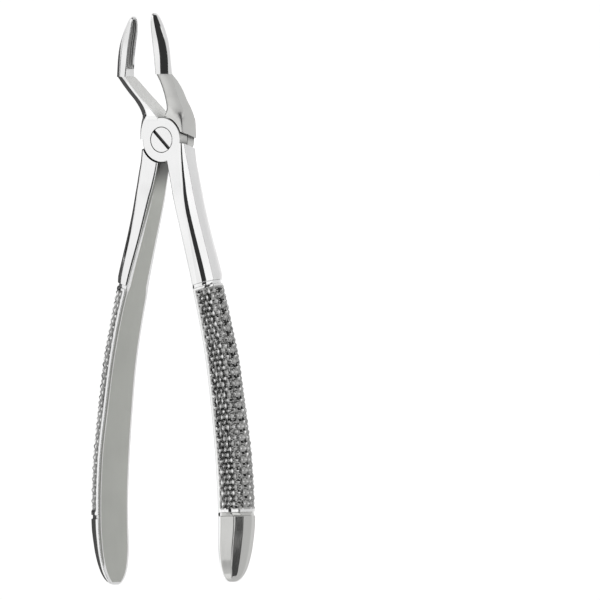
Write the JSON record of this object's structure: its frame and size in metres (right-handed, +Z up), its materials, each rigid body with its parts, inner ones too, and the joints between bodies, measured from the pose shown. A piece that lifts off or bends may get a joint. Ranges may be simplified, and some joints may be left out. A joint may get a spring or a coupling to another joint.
{
  "type": "extraction forceps",
  "caption": "Dental extraction forceps of the English pattern with bayonet root beaks, a round lap joint with a slotted screw, and long knurled handles.",
  "frame": {"origin": "on the surface the forceps lie on, under the middle of their length and spread", "axes": "+Y along the instrument towards the beak tips, +Z up along the joint pin towards the screw head, X across the handles"},
  "size_m": [0.0574, 0.18, 0.0235],
  "materials": {
    "polished_steel": "mirror-polished stainless steel, satin inner flats, coarse diamond knurl on the grips",
    "screw_steel": "finely ground stainless steel"
  },
  "bodies": {
    "rear": {"rear_half": "polished_steel", "joint_screw": "screw_steel"},
    "front": {"front_half": "polished_steel"}
  },
  "joints": [
    {"name": "joint_pivot", "type": "hinge", "parent": "rear", "child": "front", "pos_m": [0, 0.0503, 0.00731], "axis": [0, 0, 1], "range_deg": [-10, 18]}
  ]
}
